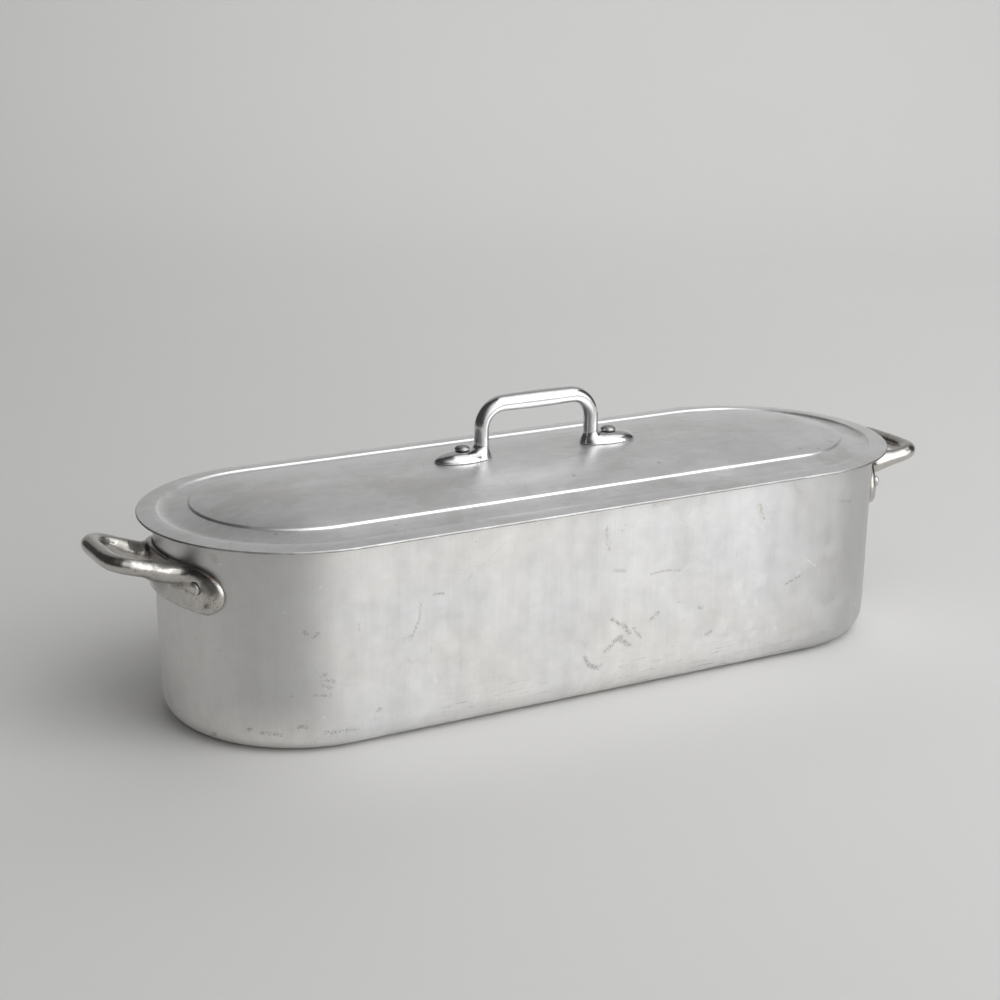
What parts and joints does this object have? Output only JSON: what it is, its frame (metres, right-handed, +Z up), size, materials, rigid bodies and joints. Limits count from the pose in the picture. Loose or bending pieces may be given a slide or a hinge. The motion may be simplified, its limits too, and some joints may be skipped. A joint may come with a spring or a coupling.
{
  "type": "fish kettle",
  "caption": "Long covered pan with round ends, riveted loop handles, a crowned lid with a riveted bow handle, and a lift-out perforated drainer with folding wire handles.",
  "frame": {"origin": "middle of the flat underside of the pan", "axes": "+X along the pan's length, +Y across it, +Z up"},
  "size_m": [0.6942, 0.229, 0.2132],
  "materials": {
    "body_aluminium": "satin with fine upright brush strokes, pits and light scratches",
    "lid_aluminium": "brushed along its length, mottled grey",
    "lid_handle_plate": "mirror polished",
    "tinned_iron": "tinned and worn bright, with brown pits",
    "rivet_aluminium": "dull, hammered",
    "rivet_iron": "dull, closed by hand, rust in the seat",
    "drainer_aluminium": "satin",
    "wire_steel": "drawn wire, tinned"
  },
  "bodies": {
    "kettle": {"kettle_body": "body_aluminium", "side_handle_left": "tinned_iron", "side_handle_right": "tinned_iron", "side_rivet_left_front": "rivet_iron", "side_rivet_left_rear": "rivet_iron", "side_rivet_right_front": "rivet_iron", "side_rivet_right_rear": "rivet_iron"},
    "lid": {"lid_shell": "lid_aluminium", "lid_handle": "lid_handle_plate", "lid_rivet_left": "rivet_aluminium", "lid_rivet_right": "rivet_aluminium"},
    "drainer": {"drainer_tray": "drainer_aluminium", "drainer_lug_left_front": "drainer_aluminium", "drainer_lug_left_rear": "drainer_aluminium", "drainer_lug_right_front": "drainer_aluminium", "drainer_lug_right_rear": "drainer_aluminium", "drainer_rivet_left_front": "rivet_aluminium", "drainer_rivet_left_rear": "rivet_aluminium", "drainer_rivet_right_front": "rivet_aluminium", "drainer_rivet_right_rear": "rivet_aluminium"},
    "drainer_bail_left": {"drainer_handle_left": "wire_steel"},
    "drainer_bail_right": {"drainer_handle_right": "wire_steel"}
  },
  "joints": [
    {"name": "lid_lift", "type": "slide", "parent": "kettle", "child": "lid", "axis": [0, 0, 1], "range_m": [0, 0.4]},
    {"name": "drainer_lift", "type": "slide", "parent": "kettle", "child": "drainer", "axis": [0, 0, 1], "range_m": [0, 0.2]},
    {"name": "drainer_handle_left_fold", "type": "hinge", "parent": "drainer", "child": "drainer_bail_left", "pos_m": [-0.2387, 0, 0.024], "axis": [0, -1, 0], "range_deg": [0, 95]},
    {"name": "drainer_handle_right_fold", "type": "hinge", "parent": "drainer", "child": "drainer_bail_right", "pos_m": [0.2387, 0, 0.024], "axis": [0, 1, 0], "range_deg": [0, 95]}
  ],
  "couplings": [
    {"joint": "drainer_lift", "follows": "lid_lift", "ratio": 0.5}
  ]
}
